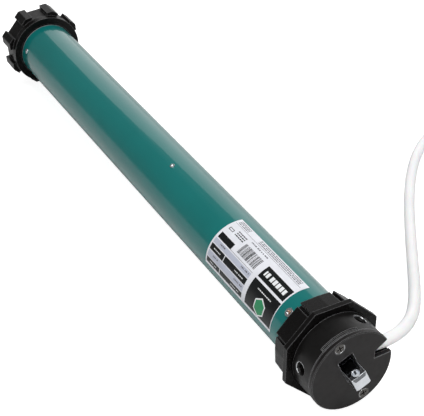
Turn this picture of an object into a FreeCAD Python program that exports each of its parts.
"""Tubular roller shutter motor with its octagon crown, octagon drive wheel and supply lead.

The motor lies along X with its fixed head and square pin at +X, on a floor at Z = 0.
Places along the axis are stations: millimetres behind the front of the end plate, towards
the drive wheel. Angles about the axis run from +Y towards +Z.
"""
import FreeCAD, Part
import math
import os
import re

import Sketcher
from fcgear import fcgear, involute

Vector = FreeCAD.Vector
Placement = FreeCAD.Placement
Rotation = FreeCAD.Rotation

# Local X, Y, Z of an axial piece become the row's Y, Z, X.
AXIAL = Rotation(Vector(1, 1, 1), 120)

SIZES = {
    # Datum
    "axis_height": 30.8,
    "plate_x": 232.25,
    # End plate, pin and head
    "plate_radius": 27.2,
    "plate_thick": 3.0,
    "plate_edge": 0.5,
    "plate_screw_circle": 22.8,
    "plate_screw_hole": 2.1,
    "plate_screw_shank": 2.0,
    "plate_screw_head": 3.6,
    "plate_screw_back": 12.0,
    "screw_head_front": 0.1,
    "screw_head_back": 1.6,
    "screw_slot_back": 1.4,
    "screw_slot_reach": 2.0,
    "screw_slot_half": 0.42,
    "pin_side": 10.0,
    "pin_out": 10.5,
    "pin_shoulder": 14.0,
    "pin_flange_back": 16.8,
    "pin_flange_radius": 9.0,
    "pin_cross_hole": 2.25,
    "pin_hole_setback": 4.3,
    "pin_bevel": 1.5,
    "pin_play": 0.15,
    "clip_pocket_reach": 13.7,
    "clip_pocket_back": 11.0,
    "neck_radius": 26.2,
    "neck_back": 3.6,
    "drum_radius": 27.0,
    "drum_back": 20.6,
    "crown_neck_radius": 23.0,
    "crown_neck_back": 28.6,
    "journal_radius": 23.3,
    "journal_back": 38.8,
    "snap_lip_radius": 23.9,
    "snap_lip_back": 39.8,
    "spigot_radius": 21.5,
    "spigot_back": 64.0,
    "head_wall_back": 17.0,
    "head_bore_radius": 19.0,
    "channel_back": 11.6,
    "pinion_window": 10.5,
    # Gland and the lead's channel behind the plate
    "gland_front": 3.2,
    "gland_back": 13.6,
    "gland_inner": 5.5,
    "gland_outer": 12.0,
    "gland_low": 3.8,
    "gland_high": 12.0,
    "gland_round": 1.5,
    "gland_play": 0.1,
    "channel_low": 3.3,
    "channel_outer": 28.6,
    # Limit adjusters
    "adjuster_station": 13.2,
    "adjuster_radius": 3.4,
    "adjuster_bore": 3.45,
    "adjuster_inner": 17.0,
    "adjuster_outer": 24.2,
    "adjuster_floor": 16.5,
    "adjuster_socket": 2.0,
    "socket_depth": 4.5,
    "mouth_inner": 25.2,
    "mouth_outer": 27.8,
    "mouth_radius": 4.8,
    # Crown
    "crown_front": 21.4,
    "crown_flange_back": 24.8,
    "crown_rear": 38.6,
    "crown_flange_flats": 61.6,
    "crown_flange_round": 1.2,
    "crown_corner": 29.5,
    "crown_side": 27.8,
    "crown_draft": 4.0,
    "crown_bore": 23.35,
    "crown_teeth_back": 28.4,
    "groove_floor": 27.2,
    "groove_near": 0.5,
    "groove_far": 2.9,
    # Tube
    "tube_radius": 22.5,
    "tube_bore": 21.6,
    "tube_front": 40.0,
    "tube_back": 451.0,
    "screw_stand": 0.6,
    "screw_reach": 2.9,
    "label_front": 53.0,
    "label_back": 132.5,
    "label_thick": 0.15,
    # Limit switch unit
    "chassis_radius": 18.7,
    "limit_shaft_radius": 2.0,
    "limit_shaft_bore": 2.05,
    "cam_axle_radius": 2.5,
    "cam_bore": 2.55,
    "post_radius": 1.8,
    "post_circle": 16.4,
    "wire_hole": 3.0,
    "shaft_end_front": 20.0,
    "shaft_end_back": 60.0,
    "pinion_front": 22.8,
    "pinion_back": 28.2,
    "track_radius": 12.2,
    "dip_radius": 2.4,
    "pivot_radius": 0.42,
    # Motor
    "capacitor_radius": 15.0,
    "capacitor_front": 98.0,
    "capacitor_back": 150.0,
    "lid_front": 95.0,
    "lid_radius": 13.6,
    "tab_front": 89.0,
    "shield_radius": 21.3,
    "shield_eye": 5.0,
    "vent_circle": 15.6,
    "vent_radius": 2.8,
    "race_outer": 8.0,
    "race_inner": 5.6,
    "ball_circle": 6.8,
    "ball_radius": 1.2,
    "shaft_radius": 4.0,
    "shaft_tip_radius": 2.5,
    "shaft_front": 161.0,
    "shaft_shoulder": 312.0,
    "shaft_back": 326.4,
    "bearing_bore": 4.05,
    "bearing_radius": 9.5,
    "stator_radius": 21.4,
    "stator_bore": 11.5,
    "stator_front": 178.0,
    "stator_back": 243.0,
    "rotor_radius": 11.2,
    "rotor_ring": 10.0,
    "ring_depth": 3.5,
    "winding_outer": 18.4,
    "winding_inner": 12.6,
    "wire_radius": 0.9,
    "wire_circle": 17.9,
    # Brake
    "hub_front": 264.0,
    "hub_radius": 8.0,
    "disc_front": 268.0,
    "disc_back": 271.0,
    "disc_radius": 17.0,
    "armature_front": 271.1,
    "armature_back": 275.0,
    "armature_radius": 18.5,
    "armature_bore": 6.0,
    "magnet_front": 276.2,
    "magnet_back": 300.0,
    "magnet_radius": 21.2,
    "skirt_front": 262.0,
    "skirt_bore": 19.2,
    "groove_outer": 17.5,
    "groove_inner": 12.5,
    "groove_back": 292.0,
    "coil_front": 277.6,
    "spring_seat": 10.5,
    "spring_floor": 290.0,
    "spring_radius": 8.4,
    "spring_wire": 0.6,
    "spring_pitch": 3.2,
    "spring_back": 289.3,
    # Gearbox
    "ring_radius": 21.4,
    "ring_front": 308.0,
    "ring_back": 396.0,
    "small_pin": 2.0,
    "small_pin_bore": 2.05,
    "large_pin": 2.5,
    "large_pin_bore": 2.55,
    "carrier_radius": 16.4,
    "front_cap_front": 302.0,
    "front_cap_eye": 5.0,
    "output_radius": 9.0,
    "output_bar_back": 448.0,
    "output_tip_front": 472.4,
    "output_tip_radius": 7.2,
    "bush_front": 402.0,
    "bush_back": 442.0,
    "bush_bore": 9.05,
    "bush_radius": 11.5,
    "cap_front": 397.0,
    "cap_radius": 21.5,
    "cap_eye": 9.6,
    "cap_lip": 1.0,
    "cap_back": 451.0,
    "output_hex_flats": 15.0,
    "clip_front": 473.0,
    "clip_back": 474.1,
    "clip_thick": 1.0,
    "clip_groove": 6.4,
    "clip_inner": 6.45,
    "clip_outer": 9.2,
    "clip_room": 10.6,
    # Drive wheel
    "wheel_front": 452.6,
    "wheel_flange_back": 458.0,
    "wheel_rear": 475.0,
    "wheel_flats": 59.6,
    "wheel_round": 2.0,
    "wheel_flange_radius": 28.3,
    "wheel_facet": 26.9,
    "wheel_facet_half": 6.6,
    "wheel_hub_radius": 12.5,
    "wheel_recess_radius": 23.0,
    "wheel_recess_depth": 10.0,
    "wheel_front_recess": 1.2,
    # Lead
    "lead_radius": 4.0,
    "coil_radius": 43.0,
    "core_radius": 1.2,
}

PIN_TURN = 25.0
WHEEL_TURN = 4.5
LABEL_ANGLES = (80.0, 183.0)
SCREW_ANGLES = (115.0, -65.0)
ADJUSTER_ANGLES = {"adjuster_up": 62.0, "adjuster_down": 173.0}
PLANET_LETTERS = "abc"

doc = FreeCAD.newDocument("shutter_motor")
sheet = doc.addObject("Spreadsheet::Sheet", "dims")
for line, (alias, number) in enumerate(SIZES.items(), start=1):
    sheet.set(f"A{line}", alias)
    sheet.set(f"B{line}", str(number))
    sheet.setAlias(f"B{line}", alias)
doc.recompute()

nodes = []


def size(alias):
    """A driving dimension read back from the sheet."""
    return float(sheet.get(alias))


def cells(text):
    """The same formula with each driving dimension's name pointing into the sheet."""
    return re.sub(r"[a-z]+(?:_[a-z]+)+", lambda word: "dims." + word.group(0), str(text))


def bind(piece, **formulas):
    """Bind properties to formulas in the sheet's names."""
    for name, formula in formulas.items():
        piece.setExpression(name, cells(formula))


def keep(piece, label):
    """Give a finished sub-part its label and list it for export."""
    piece.Label = label
    nodes.append(piece)
    return piece


# ---------------------------------------------------------------- placing


def seat(piece, back, turn=0.0, across=0.0, up=0.0):
    """Lay a piece along the axis with its local Z = 0 at station `back`."""
    piece.Placement = Placement(Vector(0, across, 0), AXIAL * Rotation(Vector(0, 0, 1), turn))
    piece.setExpression("Placement.Base.x", cells(f"plate_x - ({back})"))
    piece.setExpression("Placement.Base.z", cells(f"axis_height + ({up})"))
    return piece


def polar(radius, angle):
    """Y and Z offsets from the axis."""
    return radius * math.cos(math.radians(angle)), radius * math.sin(math.radians(angle))


# ------------------------------------------------------------- Part pieces


def bar(name, front, back, radius, across=0.0, up=0.0):
    """A round bar parallel to the axis."""
    piece = doc.addObject("Part::Cylinder", name)
    bind(piece, Radius=radius, Height=f"({back}) - ({front})")
    return seat(piece, back, 0.0, across, up)


def taper(name, front, back, front_radius, back_radius, across=0.0, up=0.0):
    """A cone parallel to the axis."""
    piece = doc.addObject("Part::Cone", name)
    bind(piece, Radius1=back_radius, Radius2=front_radius, Height=f"({back}) - ({front})")
    return seat(piece, back, 0.0, across, up)


def radial_bar(name, angle, station, inner, outer, radius):
    """A round bar that points away from the axis."""
    piece = doc.addObject("Part::Cylinder", name)
    bind(piece, Radius=radius, Height=f"({outer}) - ({inner})")
    outward = Vector(0, *polar(1.0, angle))
    piece.Placement = Placement(Vector(), Rotation(Vector(0, 0, 1), outward))
    piece.setExpression("Placement.Base.x", cells(f"plate_x - ({station})"))
    piece.setExpression("Placement.Base.y", cells(f"({inner}) * cos({angle} deg)"))
    piece.setExpression("Placement.Base.z", cells(f"axis_height + ({inner}) * sin({angle} deg)"))
    return piece


def radial_taper(name, angle, station, inner, outer, inner_radius, outer_radius):
    """A cone that points away from the axis."""
    piece = doc.addObject("Part::Cone", name)
    bind(piece, Radius1=inner_radius, Radius2=outer_radius, Height=f"({outer}) - ({inner})")
    outward = Vector(0, *polar(1.0, angle))
    piece.Placement = Placement(Vector(), Rotation(Vector(0, 0, 1), outward))
    piece.setExpression("Placement.Base.x", cells(f"plate_x - ({station})"))
    piece.setExpression("Placement.Base.y", cells(f"({inner}) * cos({angle} deg)"))
    piece.setExpression("Placement.Base.z", cells(f"axis_height + ({inner}) * sin({angle} deg)"))
    return piece


def block(name, front, back, low, high, turn=0.0, across=0.0, up=0.0):
    """A box between two stations: its corners low and high are turned about a line along the axis."""
    piece = doc.addObject("Part::Box", name)
    bind(piece, Length=f"({back}) - ({front})")
    piece.Width = high[0] - low[0]
    piece.Height = high[1] - low[1]
    corner = Rotation(Vector(1, 0, 0), turn).multVec(Vector(0, low[0], low[1])) + Vector(0, across, up)
    piece.Placement = Placement(corner, Rotation(Vector(1, 0, 0), turn))
    piece.setExpression("Placement.Base.x", cells(f"plate_x - ({back})"))
    piece.setExpression("Placement.Base.z", cells(f"axis_height + ({corner.z})"))
    return piece


def fused(name, pieces):
    """Join pieces into one solid."""
    joined = doc.addObject("Part::MultiFuse", name)
    joined.Shapes = pieces
    joined.Refine = True
    return joined


def less(name, base, tools):
    """Take the tools away from the base."""
    result = doc.addObject("Part::Cut", name)
    result.Base = base
    result.Tool = tools[0] if len(tools) == 1 else fused(name + "_tools", tools)
    return result


def group(name, pieces):
    """Separate solids that share one node."""
    compound = doc.addObject("Part::Compound", name)
    compound.Links = pieces
    return compound


def featured(name, shape, placement=None):
    """A piece whose shape is worked out from the sheet by this script."""
    piece = doc.addObject("Part::Feature", name)
    piece.Shape = shape
    if placement:
        piece.Placement = placement
    return piece


# ------------------------------------------------------ PartDesign pieces


def new_body(name, back, turn=0.0, across=0.0, up=0.0):
    """A body that lies along the axis, with its XY plane at station `back`."""
    body = doc.addObject("PartDesign::Body", name)
    return seat(body, back, turn, across, up)


def drawing_on(body, name, role="XY_Plane", lift="0"):
    """A sketch on one of the body's own planes, lifted along its normal."""
    plane = [item for item in body.Origin.OriginFeatures if item.Role == role][0]
    drawing = body.newObject("Sketcher::SketchObject", name)
    drawing.AttachmentSupport = (plane, [""])
    drawing.MapMode = "FlatFace"
    drawing.setExpression("AttachmentOffset.Base.z", cells(lift))
    return drawing


def circle(drawing, radius, x=0.0, y=0.0):
    """A circle whose radius is bound to the sheet."""
    start = size(radius) if radius in SIZES else 5.0
    index = drawing.addGeometry(Part.Circle(Vector(x, y, 0), Vector(0, 0, 1), start), False)
    if x == 0.0 and y == 0.0:
        drawing.addConstraint(Sketcher.Constraint("Coincident", index, 3, -1, 1))
    else:
        drawing.addConstraint(Sketcher.Constraint("DistanceX", -1, 1, index, 3, x))
        drawing.addConstraint(Sketcher.Constraint("DistanceY", -1, 1, index, 3, y))
    limit = drawing.addConstraint(Sketcher.Constraint("Radius", index, start))
    drawing.setExpression(f"Constraints[{limit}]", cells(radius))
    return index


def outline(drawing, points):
    """A closed outline of straight lines."""
    first = drawing.GeometryCount
    count = len(points)
    for index in range(count):
        start = Vector(*points[index], 0)
        end = Vector(*points[(index + 1) % count], 0)
        drawing.addGeometry(Part.LineSegment(start, end), False)
    for index in range(count):
        after = first + (index + 1) % count
        drawing.addConstraint(Sketcher.Constraint("Coincident", first + index, 2, after, 1))


def sector(drawing, inner, outer, middle, half):
    """A closed sector of a ring, `half` degrees either side of its middle angle."""
    first = drawing.GeometryCount
    low = math.radians(middle - half)
    high = math.radians(middle + half)
    up = Vector(0, 0, 1)
    ends = [[Vector(r * math.cos(a), r * math.sin(a), 0) for a in (low, high)] for r in (inner, outer)]
    drawing.addGeometry(Part.ArcOfCircle(Part.Circle(Vector(), up, inner), low, high), False)
    drawing.addGeometry(Part.LineSegment(ends[0][1], ends[1][1]), False)
    drawing.addGeometry(Part.ArcOfCircle(Part.Circle(Vector(), up, outer), low, high), False)
    drawing.addGeometry(Part.LineSegment(ends[1][0], ends[0][0]), False)
    for a, a_end, b, b_end in ((0, 2, 1, 1), (1, 2, 2, 2), (2, 1, 3, 1), (3, 2, 0, 1)):
        drawing.addConstraint(Sketcher.Constraint("Coincident", first + a, a_end, first + b, b_end))


def pad(body, name, drawing, length):
    """Raise a sketch along its normal."""
    feature = body.newObject("PartDesign::Pad", name)
    feature.Profile = drawing
    bind(feature, Length=length)
    drawing.Visibility = False
    return feature


def pocket(body, name, drawing, depth):
    """Cut a sketch upwards, along its normal."""
    feature = body.newObject("PartDesign::Pocket", name)
    feature.Profile = drawing
    feature.Reversed = True
    bind(feature, Length=depth)
    drawing.Visibility = False
    return feature


def prism(body, name, flats, height, lift="0", sides=8):
    """An upright prism of even sides with a flat at the bottom of the turn."""
    plane = [item for item in body.Origin.OriginFeatures if item.Role == "XY_Plane"][0]
    feature = body.newObject("PartDesign::AdditivePrism", name)
    feature.Polygon = sides
    half = 180.0 / sides
    feature.AttachmentSupport = (plane, [""])
    feature.MapMode = "FlatFace"
    feature.AttachmentOffset = Placement(Vector(), Rotation(Vector(0, 0, 1), half))
    feature.setExpression("AttachmentOffset.Base.z", cells(lift))
    bind(feature, Circumradius=f"({flats}) / 2 / cos({half} deg)", Height=height)
    return feature


def polar_copies(body, name, feature, count):
    """Repeat a feature evenly about the body's Z axis."""
    axis = [item for item in body.Origin.OriginFeatures if item.Role == "Z_Axis"][0]
    pattern = body.newObject("PartDesign::PolarPattern", name)
    pattern.Originals = [feature]
    pattern.Axis = (axis, [""])
    pattern.Angle = 360.0
    pattern.Occurrences = count
    body.Tip = pattern
    return pattern


def soften(body, name, base, kind, amount, wanted):
    """Fillet or chamfer the edges of a feature for which `wanted` is true."""
    doc.recompute()
    names = [f"Edge{n}" for n, edge in enumerate(base.Shape.Edges, start=1) if wanted(edge)]
    feature = body.newObject("PartDesign::" + kind, name)
    feature.Base = (base, names)
    if kind == "Fillet":
        bind(feature, Radius=amount)
    else:
        bind(feature, Size=amount)
    return feature


def upright_edge(edge, radius, slack=0.3):
    """True for a straight edge parallel to the body's Z axis at that distance from it."""
    ends = [vertex.Point for vertex in edge.Vertexes]
    if len(ends) != 2 or abs(ends[0].z - ends[1].z) < 1.0:
        return False
    return all(abs(math.hypot(p.x, p.y) - radius) < slack for p in ends)


# ------------------------------------------------------------------ gears

BACKLASH_SHIFT = 0.15
PRESSURE_ANGLE = 20.0


def tooth_wire(module, teeth, internal=False):
    """An involute gear's outline. A tooth stands on local X."""
    builder = fcgear.FCWireBuilder()
    draw = involute.CreateInternalGear if internal else involute.CreateExternalGear
    shift = BACKLASH_SHIFT if internal else -BACKLASH_SHIFT
    draw(builder, module, teeth, PRESSURE_ANGLE, split=False, shiftCoeff=shift)
    return Part.Wire([item.toShape() for item in builder.wire])


def gear_solid(module, teeth, width, bore=0.0, internal=False):
    """A spur gear along Z, or the space inside an internal gear."""
    solid = Part.Face(tooth_wire(module, teeth, internal)).extrude(Vector(0, 0, width))
    if bore:
        solid = solid.cut(Part.makeCylinder(bore, width))
    return solid


def gear(name, module, teeth, front, back, bore=0.0, turn=0.0, across=0.0, up=0.0, internal=False):
    """A spur gear between two stations, turned about its own axis."""
    solid = gear_solid(module, teeth, back - front, bore, internal)
    base = Vector(size("plate_x") - back, across, size("axis_height") + up)
    return featured(name, solid, Placement(base, AXIAL * Rotation(Vector(0, 0, 1), turn)))


# ------------------------------------------------------------------ cords


def tube_along(points, radius, report=None):
    """A round tube on straight runs joined by tangent arcs, each as large as its runs allow."""
    edges = []
    radii = []
    start = points[0]
    for before, corner, after in zip(points, points[1:], points[2:]):
        inward = (corner - before).normalize()
        onward = (after - corner).normalize()
        turn = inward.getAngle(onward)
        reach = 0.45 * min(corner.distanceToPoint(before), corner.distanceToPoint(after))
        bend = reach / math.tan(turn / 2)
        first = corner - inward * reach
        last = corner + onward * reach
        toward = (onward - inward).normalize()
        middle = corner + toward * (bend / math.cos(turn / 2) - bend)
        edges.append(Part.LineSegment(start, first).toShape())
        edges.append(Part.Arc(first, middle, last).toShape())
        radii.append(bend)
        start = last
    edges.append(Part.LineSegment(start, points[-1]).toShape())
    length = sum(edge.Length for edge in edges)
    section = Part.Wire([Part.makeCircle(radius, points[0], points[1] - points[0])])
    pipe = Part.BRepOffsetAPI.MakePipeShell(Part.Wire(edges))
    pipe.add(section)
    pipe.build()
    pipe.makeSolid()
    solid = pipe.shape()
    if report:
        share = solid.Volume / (math.pi * radius ** 2 * length)
        print(report, "length %.1f" % length, "volume over section x length %.4f" % share)
        print(report, "bend radii", ["%.0f" % bend for bend in radii])
    return solid


# =============================================================== the head


def make_end_plate():
    body = new_body("end_plate", "plate_thick")
    disc = drawing_on(body, "plate_disc")
    circle(disc, "plate_radius")
    plate = pad(body, "plate_pad", disc, "plate_thick")
    soften(body, "plate_rim", plate, "Chamfer", "plate_edge",
           lambda edge: abs(edge.BoundBox.ZMin - size("plate_thick")) < 0.01)
    notch = drawing_on(body, "lead_notch")
    outline(notch, NOTCH)
    pocket(body, "notch_pocket", notch, "plate_thick")
    opening = drawing_on(body, "pin_opening")
    outline(opening, clip_outline())
    pocket(body, "pin_pocket", opening, "plate_thick")
    holes = drawing_on(body, "screw_holes")
    for angle in SCREW_ANGLES:
        circle(holes, "plate_screw_hole", *polar(size("plate_screw_circle"), angle))
    drilled = pocket(body, "screw_pocket", holes, "plate_thick")
    soften(body, "screw_sinks", drilled, "Chamfer", "plate_screw_head - plate_screw_hole",
           lambda edge: edge.Curve.TypeId == "Part::GeomCircle"
           and abs(edge.Curve.Radius - size("plate_screw_hole")) < 0.01
           and abs(edge.BoundBox.ZMin - size("plate_thick")) < 0.01)
    keep(body, "end_plate")


# Y and Z of the notch that lets the lead out, wider towards the rim.
NOTCH = ((14.8, 3.7), (28.6, 4.3), (28.6, 18.7), (14.8, 8.8))


def clip_outline():
    """The pin's opening, drawn out on one side so that a bracket's clip can reach the pin."""
    half = size("pin_side") / 2 + size("pin_play")
    reach = size("clip_pocket_reach")
    turn = Rotation(Vector(0, 0, 1), PIN_TURN)
    corners = [turn.multVec(Vector(x, y, 0)) for x, y in
               ((-half, -half), (half, -half), (half, reach), (-half, reach))]
    return [(corner.x, corner.y) for corner in corners]


# The two slots of a cross recess.
SLOT_TURNS = (20.0, 110.0)


def make_plate_screws():
    reach = size("screw_slot_reach")
    half = size("screw_slot_half")
    screws = []
    for number, angle in enumerate(SCREW_ANGLES):
        y, z = polar(size("plate_screw_circle"), angle)
        head = taper(f"screw_head_{number}", "screw_head_front", "screw_head_back",
                     "plate_screw_head - 0.1", "plate_screw_shank", y, z)
        shank = bar(f"screw_shank_{number}", "screw_head_back", "plate_screw_back", "plate_screw_shank", y, z)
        slots = [block("screw_slot", "screw_head_front", "screw_slot_back", (-reach, -half), (reach, half),
                       turn, y, z) for turn in SLOT_TURNS]
        whole = fused(f"screw_blank_{number}", [head, shank])
        screws.append(less(f"plate_screw_{number}", whole, slots))
    keep(group("plate_screws", screws), "plate_screws")


def make_square_pin():
    body = new_body("square_pin", "pin_flange_back", PIN_TURN)
    flange = drawing_on(body, "pin_flange")
    circle(flange, "pin_flange_radius")
    pad(body, "pin_flange_pad", flange, "pin_flange_back - pin_shoulder")
    square = drawing_on(body, "pin_square", lift="pin_flange_back - pin_shoulder")
    half = size("pin_side") / 2
    outline(square, ((-half, -half), (half, -half), (half, half), (-half, half)))
    stem = pad(body, "pin_stem", square, "pin_shoulder + pin_out")
    tip = size("pin_flange_back") + size("pin_out")
    soften(body, "pin_tip", stem, "Chamfer", "pin_bevel",
           lambda edge: abs(edge.BoundBox.ZMin - tip) < 0.01)
    hole = drawing_on(body, "pin_cross_hole_sketch", "XZ_Plane", "-pin_side")
    circle(hole, "pin_cross_hole", 0.0001, tip - size("pin_hole_setback"))
    pocket(body, "pin_cross", hole, "2 * pin_side")
    keep(body, "square_pin")


# Lower and upper angle, front and back station, inner and outer radius of the slot over the
# head and of the rib inside it.
TOP_SLOT = (81.0, 133.0, 3.6, 6.0, 26.0, 28.0)
TOP_RIB = (82.0, 132.0, 4.2, 5.4, 25.5, 26.7)
# Angle, station, inner and outer distance and radius of the dimple that marks the turning sense.
POINTER_DIMPLE = (50.6, 10.0, 25.6, 28.0, 0.9)
PINION_WINDOW = (22.4, 28.6)


def make_head_housing():
    solids = [
        bar("head_neck", "plate_thick", "neck_back", "neck_radius"),
        bar("head_drum", "neck_back", "drum_back", "drum_radius"),
        bar("crown_neck", "drum_back", "crown_neck_back", "crown_neck_radius"),
        bar("crown_journal", "crown_neck_back", "journal_back", "journal_radius"),
        bar("snap_lip", "journal_back", "snap_lip_back", "snap_lip_radius"),
        bar("tube_spigot", "snap_lip_back", "spigot_back", "spigot_radius"),
    ]
    half = size("pin_side") / 2 + size("pin_play")
    reach = size("clip_pocket_reach")
    gland_in = size("gland_inner") - size("gland_play")
    gland_low = size("gland_low") - size("gland_play")
    gland_high = size("gland_high") + size("gland_play")
    channel_in = size("gland_outer")
    voids = [
        bar("head_bore", "head_wall_back", "spigot_back", "head_bore_radius"),
        bar("pin_flange_seat", "pin_shoulder", "head_wall_back", "pin_flange_radius + pin_play"),
        block("pin_hole", "plate_thick", "pin_shoulder", (-half, -half), (half, half), PIN_TURN),
        block("clip_pocket", "plate_thick", "clip_pocket_back", (-half, -half), (half, reach), PIN_TURN),
        block("gland_seat", "plate_thick", "head_wall_back", (gland_in, gland_low),
              (channel_in, gland_high)),
        block("lead_channel", "plate_thick", "channel_back", (channel_in, size("channel_low")),
              (size("channel_outer"), gland_high)),
        bar("pinion_hole", PINION_WINDOW[0], PINION_WINDOW[1], "pinion_window", 0.0, -LIMIT_OFFSET),
        radial_bar("pointer_dimple", *POINTER_DIMPLE),
    ]
    notch = Part.makePolygon([Vector(*point, 0) for point in NOTCH + NOTCH[:1]])
    depth = size("channel_back") - size("plate_thick")
    lead_cut = Part.Face(notch).extrude(Vector(0, 0, depth))
    base = Vector(size("plate_x") - size("channel_back"), 0, size("axis_height"))
    voids.append(featured("lead_notch_in_head", lead_cut, Placement(base, AXIAL)))
    for angle in SCREW_ANGLES:
        y, z = polar(size("plate_screw_circle"), angle)
        voids.append(bar("screw_bore", "plate_thick", "plate_screw_back + 1", "plate_screw_hole", y, z))
    for name, angle in ADJUSTER_ANGLES.items():
        voids.append(radial_bar(name + "_bore", angle, "adjuster_station", "adjuster_floor", "mouth_outer",
                                "adjuster_bore"))
        voids.append(radial_taper(name + "_mouth", angle, "adjuster_station", "mouth_inner", "mouth_outer",
                                  "adjuster_bore", "mouth_radius"))
    voids += screw_bores("head")
    voids.append(slot_ring(*TOP_SLOT))
    rib = slot_ring(*TOP_RIB)
    shell = less("head_shell", fused("head_blank", solids), voids)
    keep(fused("head_housing", [shell, rib]), "head_housing")


def slot_ring(low, high, front, back, inner, outer):
    """A curved bar round the axis between two angles and two stations."""
    width = back - front
    span = high - low
    whole = Part.makeCylinder(outer, width, Vector(), Vector(0, 0, 1), span)
    bored = whole.cut(Part.makeCylinder(inner, width))
    base = Vector(size("plate_x") - back, 0, size("axis_height"))
    return featured("slot_ring", bored, Placement(base, AXIAL * Rotation(Vector(0, 0, 1), low)))


def make_adjusters():
    for name, angle in ADJUSTER_ANGLES.items():
        screw = radial_bar(name + "_screw", angle, "adjuster_station", "adjuster_inner",
                           "adjuster_outer", "adjuster_radius")
        socket = doc.addObject("Part::Prism", name + "_socket")
        socket.Polygon = 6
        bind(socket, Circumradius="adjuster_socket / cos(30 deg)", Height="socket_depth + 1")
        y, z = polar(size("adjuster_outer") - size("socket_depth"), angle)
        x = size("plate_x") - size("adjuster_station")
        outward = Rotation(Vector(0, 0, 1), Vector(0, *polar(1.0, angle)))
        socket.Placement = Placement(Vector(x, y, z + size("axis_height")), outward)
        keep(less(name, screw, [socket]), name)


def make_cable_gland():
    low = (size("gland_inner"), size("gland_low"))
    high = (size("gland_outer"), size("gland_high"))
    gland = block("gland_block", "gland_front", "gland_back", low, high)
    rounded = doc.addObject("Part::Fillet", "cable_gland")
    rounded.Base = gland
    doc.recompute()
    radius = size("gland_round")
    rounded.Edges = [(n, radius, radius) for n, edge in enumerate(gland.Shape.Edges, start=1)
                     if edge.BoundBox.XLength > 5]
    keep(rounded, "cable_gland")


# ============================================================== the crown

CROWN_MODULE = 1.0
CROWN_TEETH = 48
LIMIT_PINION_TEETH = 18


def make_crown_ring():
    body = new_body("crown_body", "crown_rear")
    sleeve = drawing_on(body, "crown_sleeve")
    radii = (size("crown_side"), size("crown_corner"))
    outline(sleeve, [polar(radii[n % 2], 22.5 * n) for n in range(16)])
    drafted = pad(body, "crown_sleeve_pad", sleeve, "crown_rear - crown_flange_back")
    bind(drafted, TaperAngle="crown_draft * 1 deg")
    flange = prism(body, "crown_flange", "crown_flange_flats", "crown_flange_back - crown_front",
                   "crown_rear - crown_flange_back")
    corner = size("crown_flange_flats") / 2 / math.cos(math.pi / 8)
    soften(body, "crown_corners", flange, "Fillet", "crown_flange_round",
           lambda edge: upright_edge(edge, corner))
    groove = drawing_on(body, "crown_groove_sketch")
    outline(groove, beside_corner(size("groove_floor"), corner, size("groove_near"), size("groove_far")))
    cut = pocket(body, "crown_groove", groove, "crown_rear - crown_flange_back")
    polar_copies(body, "crown_grooves", cut, 8)
    hole = drawing_on(body, "crown_bore_sketch")
    circle(hole, "crown_bore")
    bored = pocket(body, "crown_bored", hole, "crown_rear - crown_front")
    body.Tip = bored
    teeth = gear("crown_teeth", CROWN_MODULE, CROWN_TEETH, size("crown_front") - 0.2,
                 size("crown_teeth_back"), internal=True)
    keep(less("crown_ring", body, [teeth]), "crown_ring")


def beside_corner(inner, outer, near, far):
    """A box outline just past the octagon's first corner, in the turning sense."""
    turn = Rotation(Vector(0, 0, 1), 22.5)
    corners = [turn.multVec(Vector(*point, 0)) for point in
               ((inner, near), (outer, near), (outer, far), (inner, far))]
    return [(point.x, point.y) for point in corners]


# ==================================================== the limit switch unit

CAM_MODULE = 0.5
CAM_TEETH = 48
CAM_PINION_TEETH = 12
LIMIT_OFFSET = CROWN_MODULE * (CROWN_TEETH - LIMIT_PINION_TEETH) / 2
CHASSIS_DISCS = (("front", 30.4, 32.8), ("rear", 58.0, 60.4))
CAM_STATIONS = {"up": 36.0, "down": 46.0}
LEVER_REACH = 4.6
LEVER_HEIGHT = 12.8


# Angles of the two posts that tie the chassis discs together.
POST_ANGLES = (35.0, 145.0)
# Low and high corners, across and up, of the shelf that holds the switches and of a switch.
SHELF = ((-5.0, 17.5), (5.0, 18.1))
SWITCH = ((-5.5, 13.3), (5.5, 17.4))
WIRE_HOLE_PLACE = (-12.0, 5.0)
DIP_ANGLE = 200.0
# Stations of a cam's parts, counted from its front.
CAM_GEAR_BACK = 3.0
CAM_BACK = 6.0
CAM_DIP = 4.6
CAM_PINION = (-0.6, 2.8)
SWITCH_SPAN = (1.6, 7.6)
LEVER_SPAN = (3.6, 5.4)
LEVER_HALF_THICK = 0.15


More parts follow.
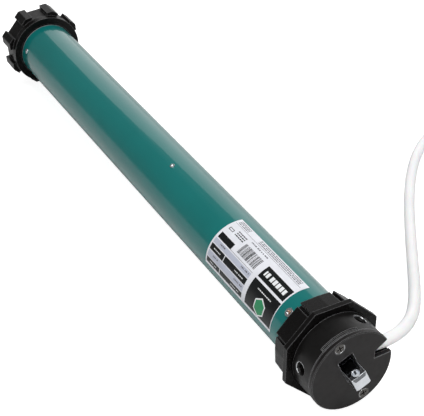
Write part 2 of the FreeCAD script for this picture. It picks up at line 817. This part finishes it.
def make_limit_unit():
    """The chassis, the shaft driven by the crown, and two cams with their switches."""
    inner_front, inner_back = CHASSIS_DISCS[0][2], CHASSIS_DISCS[1][1]
    outer_front, outer_back = CHASSIS_DISCS[0][1], CHASSIS_DISCS[1][2]
    discs = [bar(f"chassis_{name}", front, back, "chassis_radius") for name, front, back in CHASSIS_DISCS]
    posts = []
    for angle in POST_ANGLES:
        y, z = polar(size("post_circle"), angle)
        posts.append(bar("chassis_post", inner_front, inner_back, "post_radius", y, z))
    shelf = block("switch_shelf", inner_front, inner_back, *SHELF)
    holes = [
        bar("limit_shaft_hole", outer_front - 1, outer_back + 1, "limit_shaft_bore", 0.0, -LIMIT_OFFSET),
        bar("cam_axle_hole", outer_front - 1, outer_back + 1, "cam_axle_radius"),
        bar("chassis_wire_hole", inner_back - 1, outer_back + 1, "wire_hole", *WIRE_HOLE_PLACE),
    ]
    keep(less("limit_chassis", fused("chassis_blank", discs + posts + [shelf]), holes), "limit_chassis")
    keep(bar("cam_axle", outer_front, outer_back, "cam_axle_radius"), "cam_axle")

    down = -LIMIT_OFFSET
    shaft = bar("limit_shaft", "shaft_end_front", "shaft_end_back", "limit_shaft_radius", 0.0, down)
    pinion = gear("limit_pinion", CROWN_MODULE, LIMIT_PINION_TEETH, size("pinion_front"), size("pinion_back"),
                  turn=-90.0 - 180.0 / LIMIT_PINION_TEETH, up=down)
    cam_pinions = [gear("cam_pinion", CAM_MODULE, CAM_PINION_TEETH, front + CAM_PINION[0],
                        front + CAM_PINION[1], turn=90.0, up=down)
                   for front in CAM_STATIONS.values()]
    keep(fused("limit_pinion_shaft", [shaft, pinion] + cam_pinions), "limit_pinion_shaft")
    for side, front in CAM_STATIONS.items():
        make_cam(f"limit_cam_{side}", front)
        make_switch(side, front)


def make_cam(name, front):
    """A gear with a round track behind it, and the dip in the track that frees the switch."""
    gear_back = front + CAM_GEAR_BACK
    wheel = gear("cam_gear", CAM_MODULE, CAM_TEETH, front, gear_back, turn=-90.0 + 180.0 / CAM_TEETH)
    track = bar("cam_track", gear_back, front + CAM_BACK, "track_radius")
    dip = radial_bar("cam_dip", DIP_ANGLE, front + CAM_DIP, 11.6, 15.0, "dip_radius")
    bore = bar("cam_hole", front - 1, front + CAM_BACK + 1, "cam_bore")
    keep(less(name, fused(name + "_blank", [wheel, track]), [dip, bore]), name)


def make_switch(side, front):
    """A switch body over the cam, and the sprung lever between them."""
    keep(block(f"microswitch_{side}", front + SWITCH_SPAN[0], front + SWITCH_SPAN[1], *SWITCH),
         f"microswitch_{side}")
    lever_front, lever_back = front + LEVER_SPAN[0], front + LEVER_SPAN[1]
    blade = block("lever_blade", lever_front, lever_back, (-LEVER_REACH, LEVER_HEIGHT - LEVER_HALF_THICK),
                  (LEVER_REACH, LEVER_HEIGHT + LEVER_HALF_THICK))
    pivot = bar("lever_pivot", lever_front, lever_back, "pivot_radius", -LEVER_REACH, LEVER_HEIGHT)
    keep(fused(f"switch_lever_{side}", [blade, pivot]), f"switch_lever_{side}")


# ============================================================== the motor


def make_tube_and_label():
    outer = bar("tube_outside", "tube_front", "tube_back", "tube_radius")
    holes = [bar("tube_inside", "tube_front - 1", "tube_back + 1", "tube_bore")]
    for name, angle, station, bore in TUBE_SCREWS:
        holes.append(radial_bar("tube_hole_" + name, angle, station, 20.0, 24.0, bore))
    keep(less("motor_tube", outer, holes), "motor_tube")
    inner = size("tube_radius")
    label = slot_ring(*LABEL_ANGLES, size("label_front"), size("label_back"), inner,
                      inner + size("label_thick"))
    keep(label, "rating_label")


# Name, angle about the axis, station and shank radius of the screws through the tube wall.
TUBE_SCREWS = (
    ("head_a", 131.7, 44.6, 1.6),
    ("head_b", 251.7, 44.6, 1.6),
    ("head_c", 11.7, 44.6, 1.6),
    ("stator", 105.3, 210.6, 1.3),
    ("gear_a", 159.3, 443.2, 1.5),
    ("gear_b", 339.3, 443.2, 1.5),
)


# A screw head's radius over its shank's.
WIDE_HEAD = 1.75
SMALL_HEAD = 1.35


def make_tube_screws():
    screws = []
    for name, angle, station, shank in TUBE_SCREWS:
        head_radius = shank * (WIDE_HEAD if name.startswith("head") else SMALL_HEAD)
        head = radial_bar("tube_screw_head", angle, station, "tube_radius", "tube_radius + screw_stand",
                          head_radius)
        stem = radial_bar("tube_screw_stem", angle, station, "tube_radius - screw_reach", "tube_radius",
                          shank)
        whole = fused("tube_screw_blank", [head, stem])
        recess = radial_bar("tube_screw_recess", angle, station, "tube_radius - 0.2", "tube_radius + 0.7",
                            head_radius * 0.5)
        screws.append(less("tube_screw_" + name, whole, [recess]))
    keep(group("tube_screws", screws), "tube_screws")


def screw_bores(prefix):
    """Bores for those tube screws whose names start with the prefix."""
    return [radial_bar("screw_seat", angle, station, 18.0, 22.0, shank)
            for name, angle, station, shank in TUBE_SCREWS if name.startswith(prefix)]


CAPACITOR_TABS = (-6.0, 6.0)
TAB_HALF = (2.4, 0.4)


def make_capacitor():
    can = bar("capacitor_can", "capacitor_front", "capacitor_back", "capacitor_radius")
    lid = bar("capacitor_lid", "lid_front", "capacitor_front", "lid_radius")
    wide, thick = TAB_HALF
    tabs = [block("capacitor_tab", size("tab_front"), size("lid_front"), (y - wide, -thick),
                  (y + wide, thick))
            for y in CAPACITOR_TABS]
    keep(fused("capacitor", [can, lid] + tabs), "capacitor")


# Front and back station of each end shield and of the bearing seat in it.
END_SHIELDS = {
    "front_end_shield": (160.0, 168.0, 162.0, 168.0),
    "rear_end_shield": (254.0, 262.0, 254.0, 260.0),
}
BEARING_FRONTS = {"front_bearing": 162.0, "rear_bearing": 254.0}
BEARING_WIDTH = 6.0
VENT_STEP = 60
BALL_STEP = 45


def make_end_shields():
    for name, (front, back, seat_front, seat_back) in END_SHIELDS.items():
        disc = bar(name + "_disc", front, back, "shield_radius")
        voids = [bar(name + "_eye", front - 1, back + 1, "shield_eye"),
                 bar(name + "_seat", seat_front, seat_back, "bearing_radius")]
        for angle in range(VENT_STEP // 2, 360, VENT_STEP):
            y, z = polar(size("vent_circle"), angle)
            voids.append(bar(name + "_vent", front - 1, back + 1, "vent_radius", y, z))
        keep(less(name, disc, voids), name)
    for name, front in BEARING_FRONTS.items():
        make_bearing(name, front, front + BEARING_WIDTH)


def make_bearing(name, front, back):
    """An outer race, an inner race and the balls between them."""
    outer = less(name + "_outer", bar(name + "_o", front, back, "bearing_radius"),
                 [bar(name + "_i", front, back, "race_outer")])
    inner = less(name + "_inner", bar(name + "_p", front, back, "race_inner"),
                 [bar(name + "_q", front, back, "bearing_bore")])
    balls = []
    for angle in range(0, 360, BALL_STEP):
        ball = doc.addObject("Part::Sphere", name + "_ball")
        bind(ball, Radius="ball_radius")
        y, z = polar(size("ball_circle"), angle)
        ball.Placement.Base = at(y, z, (front + back) / 2)
        balls.append(ball)
    keep(group(name, [outer, inner] + balls), name)


SLOT_COUNT = 12
# Outline of a stator slot, out from the axis and across, and the coil side that fills it.
STATOR_SLOT = ((12.8, -1.6), (17.6, -2.4), (17.6, 2.4), (12.8, 1.6))
COIL_SIDE = ((13.1, -1.4), (17.3, 1.4))
COIL_SIDE_SPAN = (172.0, 249.0)
END_WINDING_SPANS = ((169.5, 177.6), (243.4, 252.5))


def make_stator():
    body = new_body("stator_body", "stator_back")
    disc = drawing_on(body, "stator_disc")
    circle(disc, "stator_radius")
    circle(disc, "stator_bore")
    pad(body, "stator_stack", disc, "stator_back - stator_front")
    slot = drawing_on(body, "stator_slot")
    outline(slot, STATOR_SLOT)
    cut = pocket(body, "stator_slot_cut", slot, "stator_back - stator_front")
    polar_copies(body, "stator_slots", cut, SLOT_COUNT)
    keep(less("stator_core", body, screw_bores("stator")), "stator_core")

    bars = [block("coil_side", *COIL_SIDE_SPAN, *COIL_SIDE, 360.0 * number / SLOT_COUNT)
            for number in range(SLOT_COUNT)]
    ends = [less("end_winding", bar("end_winding_o", front, back, "winding_outer"),
                 [bar("end_winding_i", front, back, "winding_inner")])
            for front, back in END_WINDING_SPANS]
    keep(fused("stator_windings", ends + bars), "stator_windings")


def make_rotor():
    core = bar("rotor_stack", "stator_front", "stator_back", "rotor_radius")
    end_rings = [bar("rotor_end_ring", "stator_front - ring_depth", "stator_front", "rotor_ring"),
                 bar("rotor_end_ring", "stator_back", "stator_back + ring_depth", "rotor_ring")]
    bore = bar("rotor_bore", "stator_front - 4", "stator_back + 4", "shaft_radius")
    keep(less("rotor_core", fused("rotor_blank", [core] + end_rings), [bore]), "rotor_core")
    keep(fused("rotor_shaft", [
        bar("shaft_long", "shaft_front", "shaft_shoulder", "shaft_radius"),
        bar("shaft_tip", "shaft_shoulder", "shaft_back", "shaft_tip_radius"),
    ]), "rotor_shaft")


SPRING_TURNS = 4
SPRING_STEPS = 8


def make_brake():
    """A spring brake: disc on the shaft, armature, magnet housing with its coil, and spring."""
    disc = fused("brake_disc_blank", [bar("brake_plate", "disc_front", "disc_back", "disc_radius"),
                                      bar("brake_hub", "hub_front", "disc_front", "hub_radius")])
    disc_bore = bar("brake_disc_bore", "hub_front - 1", "disc_back + 1", "shaft_radius")
    keep(less("brake_disc", disc, [disc_bore]), "brake_disc")
    armature = bar("armature_blank", "armature_front", "armature_back", "armature_radius")
    armature_hole = bar("armature_hole", "armature_front - 1", "armature_back + 1", "armature_bore")
    keep(less("brake_armature", armature, [armature_hole]), "brake_armature")

    skirt = less("magnet_skirt", bar("skirt_o", "skirt_front", "magnet_front", "magnet_radius"),
                 [bar("skirt_i", "skirt_front", "magnet_front", "skirt_bore")])
    body = bar("magnet_body", "magnet_front", "magnet_back", "magnet_radius")
    magnet = fused("magnet_blank", [body, skirt])
    coil_room = less("magnet_groove", bar("groove_o", "magnet_front", "groove_back", "groove_outer"),
                     [bar("groove_i", "magnet_front", "groove_back", "groove_inner")])
    voids = [bar("magnet_bore", "magnet_front - 1", "magnet_back + 1", "armature_bore"),
             bar("spring_room", "magnet_front - 1", "spring_floor", "spring_seat"), coil_room]
    keep(less("brake_housing", magnet, voids), "brake_housing")
    keep(less("brake_coil", bar("brake_coil_o", "coil_front", "groove_back", "groove_outer"),
              [bar("brake_coil_i", "coil_front", "groove_back", "groove_inner")]), "brake_coil")

    helix = []
    for step in range(SPRING_TURNS * SPRING_STEPS + 1):
        y, z = polar(size("spring_radius"), 360.0 * step / SPRING_STEPS)
        helix.append(at(y, z, size("spring_back") - size("spring_pitch") * step / SPRING_STEPS))
    keep(featured("brake_spring", tube_along(helix, size("spring_wire"))), "brake_spring")


WIRE_ANGLES = (150.0, 175.0, 200.0)
WIRE_SPAN = (61.0, 159.6)


def make_wiring():
    wires = []
    for angle in WIRE_ANGLES:
        y, z = polar(size("wire_circle"), angle)
        wires.append(bar("wire", *WIRE_SPAN, "wire_radius", y, z))
    keep(group("wiring_harness", wires), "wiring_harness")


# ============================================================ the gearbox

GEAR_MODULE = 0.75
RING_TEETH = 48
# Sun teeth, planet teeth, sun face, planet face, carrier plate face, pin radius and pin bore names.
STAGES = (
    (12, 18, (313.0, 326.4), (314.0, 326.0), (327.0, 331.0), "small_pin", "small_pin_bore"),
    (12, 18, (331.0, 350.0), (334.0, 348.0), (350.6, 355.6), "large_pin", "large_pin_bore"),
    (18, 15, (355.6, 382.0), (359.0, 381.0), (382.6, 390.0), "large_pin", "large_pin_bore"),
)


def sun_turn(sun_teeth, planet_teeth):
    """The sun's turn that meshes with planets which fit the ring gear."""
    return 180.0 / sun_teeth if planet_teeth % 2 else 0.0


def make_gearbox():
    sleeve = bar("ring_blank", "ring_front", "ring_back", "ring_radius")
    space = gear("ring_space", GEAR_MODULE, RING_TEETH, size("ring_front") - 1, size("ring_back") + 1,
                 internal=True)
    keep(less("gearbox_ring", sleeve, [space]), "gearbox_ring")
    keep(less("gearbox_front_cap", bar("front_cap", "front_cap_front", "ring_front", "ring_radius"),
              [bar("front_cap_hole", "front_cap_front - 1", "ring_front + 1", "front_cap_eye")]),
         "gearbox_front_cap")

    carried = []
    for stage, (sun, planet, sun_face, planet_face, plate, pin, bore) in enumerate(STAGES, start=1):
        turn = sun_turn(sun, planet)
        offset = GEAR_MODULE * (sun + planet) / 2
        if stage == 1:
            keep(gear("sun_gear", GEAR_MODULE, sun, *sun_face, bore=size("shaft_tip_radius"), turn=turn),
                 "sun_gear")
        else:
            carried.append(gear("carrier_sun", GEAR_MODULE, sun, *sun_face, turn=turn))
            keep(fused(f"carrier_{stage - 1}", carried), f"carrier_{stage - 1}")
        for number, letter in enumerate(PLANET_LETTERS):
            angle = 120.0 * number
            y, z = polar(offset, angle)
            keep(gear("planet", GEAR_MODULE, planet, *planet_face, bore=size(bore),
                      turn=angle - 180.0 / planet, across=y, up=z), f"planet_{stage}{letter}")
        carried = make_carrier(stage, offset, planet_face, plate, pin)

    hexagon = new_body("output_hexagon", "output_tip_front", WHEEL_TURN)
    prism(hexagon, "output_prism", "output_hex_flats", "output_tip_front - output_bar_back", sides=6)
    tail = [
        bar("output_bar", STAGES[-1][4][1], "output_bar_back", "output_radius"),
        hexagon,
        bar("output_tip", "output_tip_front", "wheel_rear", "output_tip_radius"),
    ]
    groove = less("clip_groove_ring", bar("clip_groove_o", "clip_front", "clip_back", "output_radius"),
                  [bar("clip_groove_i", "clip_front", "clip_back", "clip_groove")])
    keep(less("output_shaft", fused("output_blank", carried + tail), [groove]), "output_shaft")


# How far a planet's pin stands out in front of it.
PIN_OVERHANG = 0.5


def make_carrier(stage, offset, planet_face, plate, pin):
    """A carrier's plate with its three planet pins."""
    body = new_body(f"carrier_body_{stage}", plate[1])
    disc = drawing_on(body, f"carrier_disc_{stage}")
    circle(disc, "carrier_radius")
    pad(body, f"carrier_plate_{stage}", disc, plate[1] - plate[0])
    pins = drawing_on(body, f"carrier_pins_{stage}")
    for number in range(len(PLANET_LETTERS)):
        circle(pins, pin, *polar(offset, 120.0 * number))
    pad(body, f"carrier_pin_pads_{stage}", pins, plate[1] - planet_face[0] + PIN_OVERHANG)
    return [body]


def make_output_end():
    cap = fused("rear_cap_blank", [bar("rear_cap_sleeve", "cap_front", "cap_back", "cap_radius"),
                                   bar("rear_cap_lip", "cap_back", "cap_back + cap_lip", "tube_radius")])
    voids = [bar("rear_cap_eye", "cap_front - 1", "cap_back + 2", "cap_eye"),
             bar("bush_seat", "bush_front", "bush_back", "bush_radius")]
    keep(less("gearbox_rear_cap", cap, voids + screw_bores("gear")), "gearbox_rear_cap")
    keep(less("output_bush", bar("bush_o", "bush_front", "bush_back", "bush_radius"),
              [bar("bush_i", "bush_front", "bush_back", "bush_bore")]), "output_bush")


# ======================================================== the drive wheel


# Half the angle of each hollow between the wheel's spokes.
RECESS_HALF = 17.0


def make_drive_wheel():
    body = new_body("wheel_body", "wheel_rear", WHEEL_TURN)
    octagon = prism(body, "wheel_octagon", "wheel_flats", "wheel_rear - wheel_flange_back")
    corner = size("wheel_flats") / 2 / math.cos(math.pi / 8)
    soften(body, "wheel_corners", octagon, "Fillet", "wheel_round",
           lambda edge: upright_edge(edge, corner))
    facet = drawing_on(body, "wheel_facet_sketch")
    near = size("wheel_facet")
    half = size("wheel_facet_half")
    outer = corner + 2.0
    outline(facet, ((near, -half), (outer, -half), (outer, half), (near, half)))
    cut = pocket(body, "wheel_facet_cut", facet, "wheel_rear - wheel_flange_back")
    polar_copies(body, "wheel_facets", cut, 8)
    round_flange = drawing_on(body, "wheel_flange_sketch", lift="wheel_rear - wheel_flange_back")
    circle(round_flange, "wheel_flange_radius")
    pad(body, "wheel_flange", round_flange, "wheel_flange_back - wheel_front")
    hollow = drawing_on(body, "wheel_recess_sketch")
    sector(hollow, size("wheel_hub_radius"), size("wheel_recess_radius"), 0.0, RECESS_HALF)
    recess = pocket(body, "wheel_recess", hollow, "wheel_recess_depth")
    polar_copies(body, "wheel_recesses", recess, 8)
    front = drawing_on(body, "wheel_front_sketch", lift="wheel_rear - wheel_front - wheel_front_recess")
    circle(front, "tube_radius + 0.6")
    pocket(body, "wheel_front_hollow", front, "wheel_front_recess")
    hub = drawing_on(body, "wheel_hub_sketch")
    corner_reach = size("output_hex_flats") / 2 / math.cos(math.pi / 6)
    outline(hub, [polar(corner_reach, 30.0 + 60.0 * n) for n in range(6)])
    bored = pocket(body, "wheel_bore", hub, "wheel_rear - wheel_front")
    body.Tip = bored
    room = bar("clip_recess", "output_tip_front", "wheel_rear + 1", "clip_room")
    keep(less("drive_wheel", body, [room]), "drive_wheel")


# The clip's place in its groove, and the low and high corner of its gap before it is turned up.
CLIP_PLAY = 0.05
CLIP_GAP = ((4.0, -2.0), (11.0, 2.0))


def make_drive_clip():
    front = f"clip_front + {CLIP_PLAY}"
    ring = less("clip_ring", bar("clip_o", front, f"{front} + clip_thick", "clip_outer"),
                [bar("clip_i", "clip_front", "clip_back", "clip_inner")])
    gap = block("clip_gap", size("clip_front"), size("clip_back"), *CLIP_GAP, 90.0)
    keep(less("drive_clip", ring, [gap]), "drive_clip")


# =============================================================== the lead

# Y, height above the axis and station of the lead's route from the gland to the coil.
LEAD_ROUTE = (
    (12.0, 7.9, 7.6),
    (19.8, 7.75, 6.5),
    (28.0, 7.5, 6.4),
    (37.0, 7.1, 8.2),
    (46.2, 6.2, 12.4),
    (55.5, 4.4, 19.4),
    (65.6, 1.2, 30.1),
    (79.2, -4.6, 47.2),
    (98.5, -14.0, 73.0),
    (125.0, -23.8, 110.0),
    (153.0, -26.8, 150.0),
    (178.0, -26.8, 182.0),
    (204.0, -26.8, 208.0),
    (231.0, -26.8, 225.2),
    (252.0, -26.8, 233.4),
    (270.0, -26.8, 235.0),
)
COIL_CENTRE = (275.0, 188.0)
COIL_HALF_WIDTH = 8.0
COIL_HEIGHT = 32.0
COIL_ROUND = 3.0
# Angles over the coil where the last piece of sheath starts and ends, and the step between them.
TAIL_START = 30
TAIL_END = -42
TAIL_STEP = 18
SLEEVE_RADIUS = 1.25
SLEEVE_LENGTH = 5.0
BARREL_RADIUS = 0.75
BARREL_LENGTH = 6.0
CORE_SPREAD = {"core_brown": -4.6, "core_black": -1.6, "core_blue": 1.6, "core_earth": 4.6}
CORE_DIP = (-1.0, 1.0, 1.0, -1.0)


def at(y, height, station):
    """A point from its offset across, height above the axis and station."""
    return Vector(size("plate_x") - station, y, size("axis_height") + height)


def round_coil(radius, angle, height):
    """A point over the coil: angle from +Y towards the drive wheel, height above the floor."""
    y = COIL_CENTRE[0] + radius * math.cos(math.radians(angle))
    station = COIL_CENTRE[1] + radius * math.sin(math.radians(angle))
    return Vector(size("plate_x") - station, y, height)


def make_lead():
    lead = tube_along([at(*point) for point in LEAD_ROUTE], size("lead_radius"), "cable_lead")
    keep(featured("cable_lead", lead), "cable_lead")

    centre = Vector(size("plate_x") - COIL_CENTRE[1], COIL_CENTRE[0], 0)
    middle = size("coil_radius")
    ring = Part.makeCylinder(middle + COIL_HALF_WIDTH, COIL_HEIGHT, centre)
    ring = ring.cut(Part.makeCylinder(middle - COIL_HALF_WIDTH, COIL_HEIGHT, centre))
    ring = ring.makeFillet(COIL_ROUND, [edge for edge in ring.Edges if edge.BoundBox.ZLength < 0.01])
    keep(featured("cable_coil", ring), "cable_coil")

    top = COIL_HEIGHT + size("lead_radius")
    tail_points = [round_coil(middle, angle, top) for angle in range(TAIL_START, TAIL_END - 1, -TAIL_STEP)]
    keep(featured("cable_tail", tube_along(tail_points, size("lead_radius"), "cable_tail")), "cable_tail")

    core = size("core_radius")
    rest = COIL_HEIGHT + core + 0.05
    cores = []
    ferrules = []
    for (name, spread), dip in zip(CORE_SPREAD.items(), CORE_DIP):
        start = TAIL_END
        points = [
            round_coil(middle + spread * 0.32, start, top + dip * 1.5),
            round_coil(middle + spread * 0.62, start - 12, (top + rest) / 2 + dip),
            round_coil(middle + spread, start - 26, rest + 0.2),
            round_coil(middle + spread * 1.15, start - 42, rest),
            round_coil(middle + spread * 1.15, start - 56, rest),
        ]
        cores.append(featured(name, tube_along(points, core)))
        tip = points[-1]
        along = (points[-1] - points[-2]).normalize()
        sleeve = Part.makeCylinder(SLEEVE_RADIUS, SLEEVE_LENGTH, tip, along)
        barrel = Part.makeCylinder(BARREL_RADIUS, BARREL_LENGTH, tip + along * SLEEVE_LENGTH, along)
        ferrules.append(featured("ferrule", sleeve.fuse(barrel)))
    keep(group("lead_cores", cores), "lead_cores")
    keep(group("core_ferrules", ferrules), "core_ferrules")
    make_tie(centre)


TIE_WIDE = 4.6
TIE_THICK = 1.1
TIE_PLAY = 0.1
TIE_ANGLE = 200.0
# Length out from the strap, width and height of the tie's lock, and its height over the floor.
TIE_LOCK = (5.5, 7.0, 7.5)
TIE_LOCK_UP = 7.0


def make_tie(centre):
    """A flat tie looped once round the bundle, with its lock on the outside."""
    inner = COIL_HALF_WIDTH + TIE_PLAY
    outer = inner + TIE_THICK
    loop = Part.makeBox(2 * outer, TIE_WIDE, COIL_HEIGHT + 2 * TIE_PLAY + TIE_THICK,
                        Vector(-outer, -TIE_WIDE / 2, 0))
    hole = Part.makeBox(2 * inner, TIE_WIDE, COIL_HEIGHT + TIE_PLAY, Vector(-inner, -TIE_WIDE / 2, 0))
    lock = Part.makeBox(*TIE_LOCK, Vector(outer - 0.2, -TIE_LOCK[1] / 2, TIE_LOCK_UP))
    tie = loop.cut(hole).fuse(lock)
    spot = round_coil(size("coil_radius"), TIE_ANGLE, 0)
    outward = Vector(spot.x - centre.x, spot.y - centre.y, 0)
    keep(featured("cable_tie", tie, Placement(spot, Rotation(Vector(1, 0, 0), outward))), "cable_tie")


# ============================================================ all of them

for make in (make_end_plate, make_plate_screws, make_square_pin, make_head_housing, make_adjusters,
             make_cable_gland, make_crown_ring, make_limit_unit, make_tube_and_label, make_tube_screws,
             make_capacitor, make_end_shields, make_stator, make_rotor, make_brake, make_wiring,
             make_gearbox, make_output_end, make_drive_wheel, make_drive_clip, make_lead):
    make()

doc.recompute()
faults = [item.Name for item in doc.Objects if "Invalid" in item.State or "Error" in item.State]
if faults:
    raise SystemExit("failed features: " + ", ".join(faults))
os.makedirs("parts", exist_ok=True)
for piece in nodes:
    shape = piece.Shape
    if shape.isNull() or not shape.isValid() or not shape.Solids:
        raise SystemExit("bad shape: " + piece.Label)
    shape.exportStep(f"parts/{piece.Label}.step")
    print("%-20s solids %2d volume %9.1f" % (piece.Label, len(shape.Solids), shape.Volume))
print(len(nodes), "nodes")
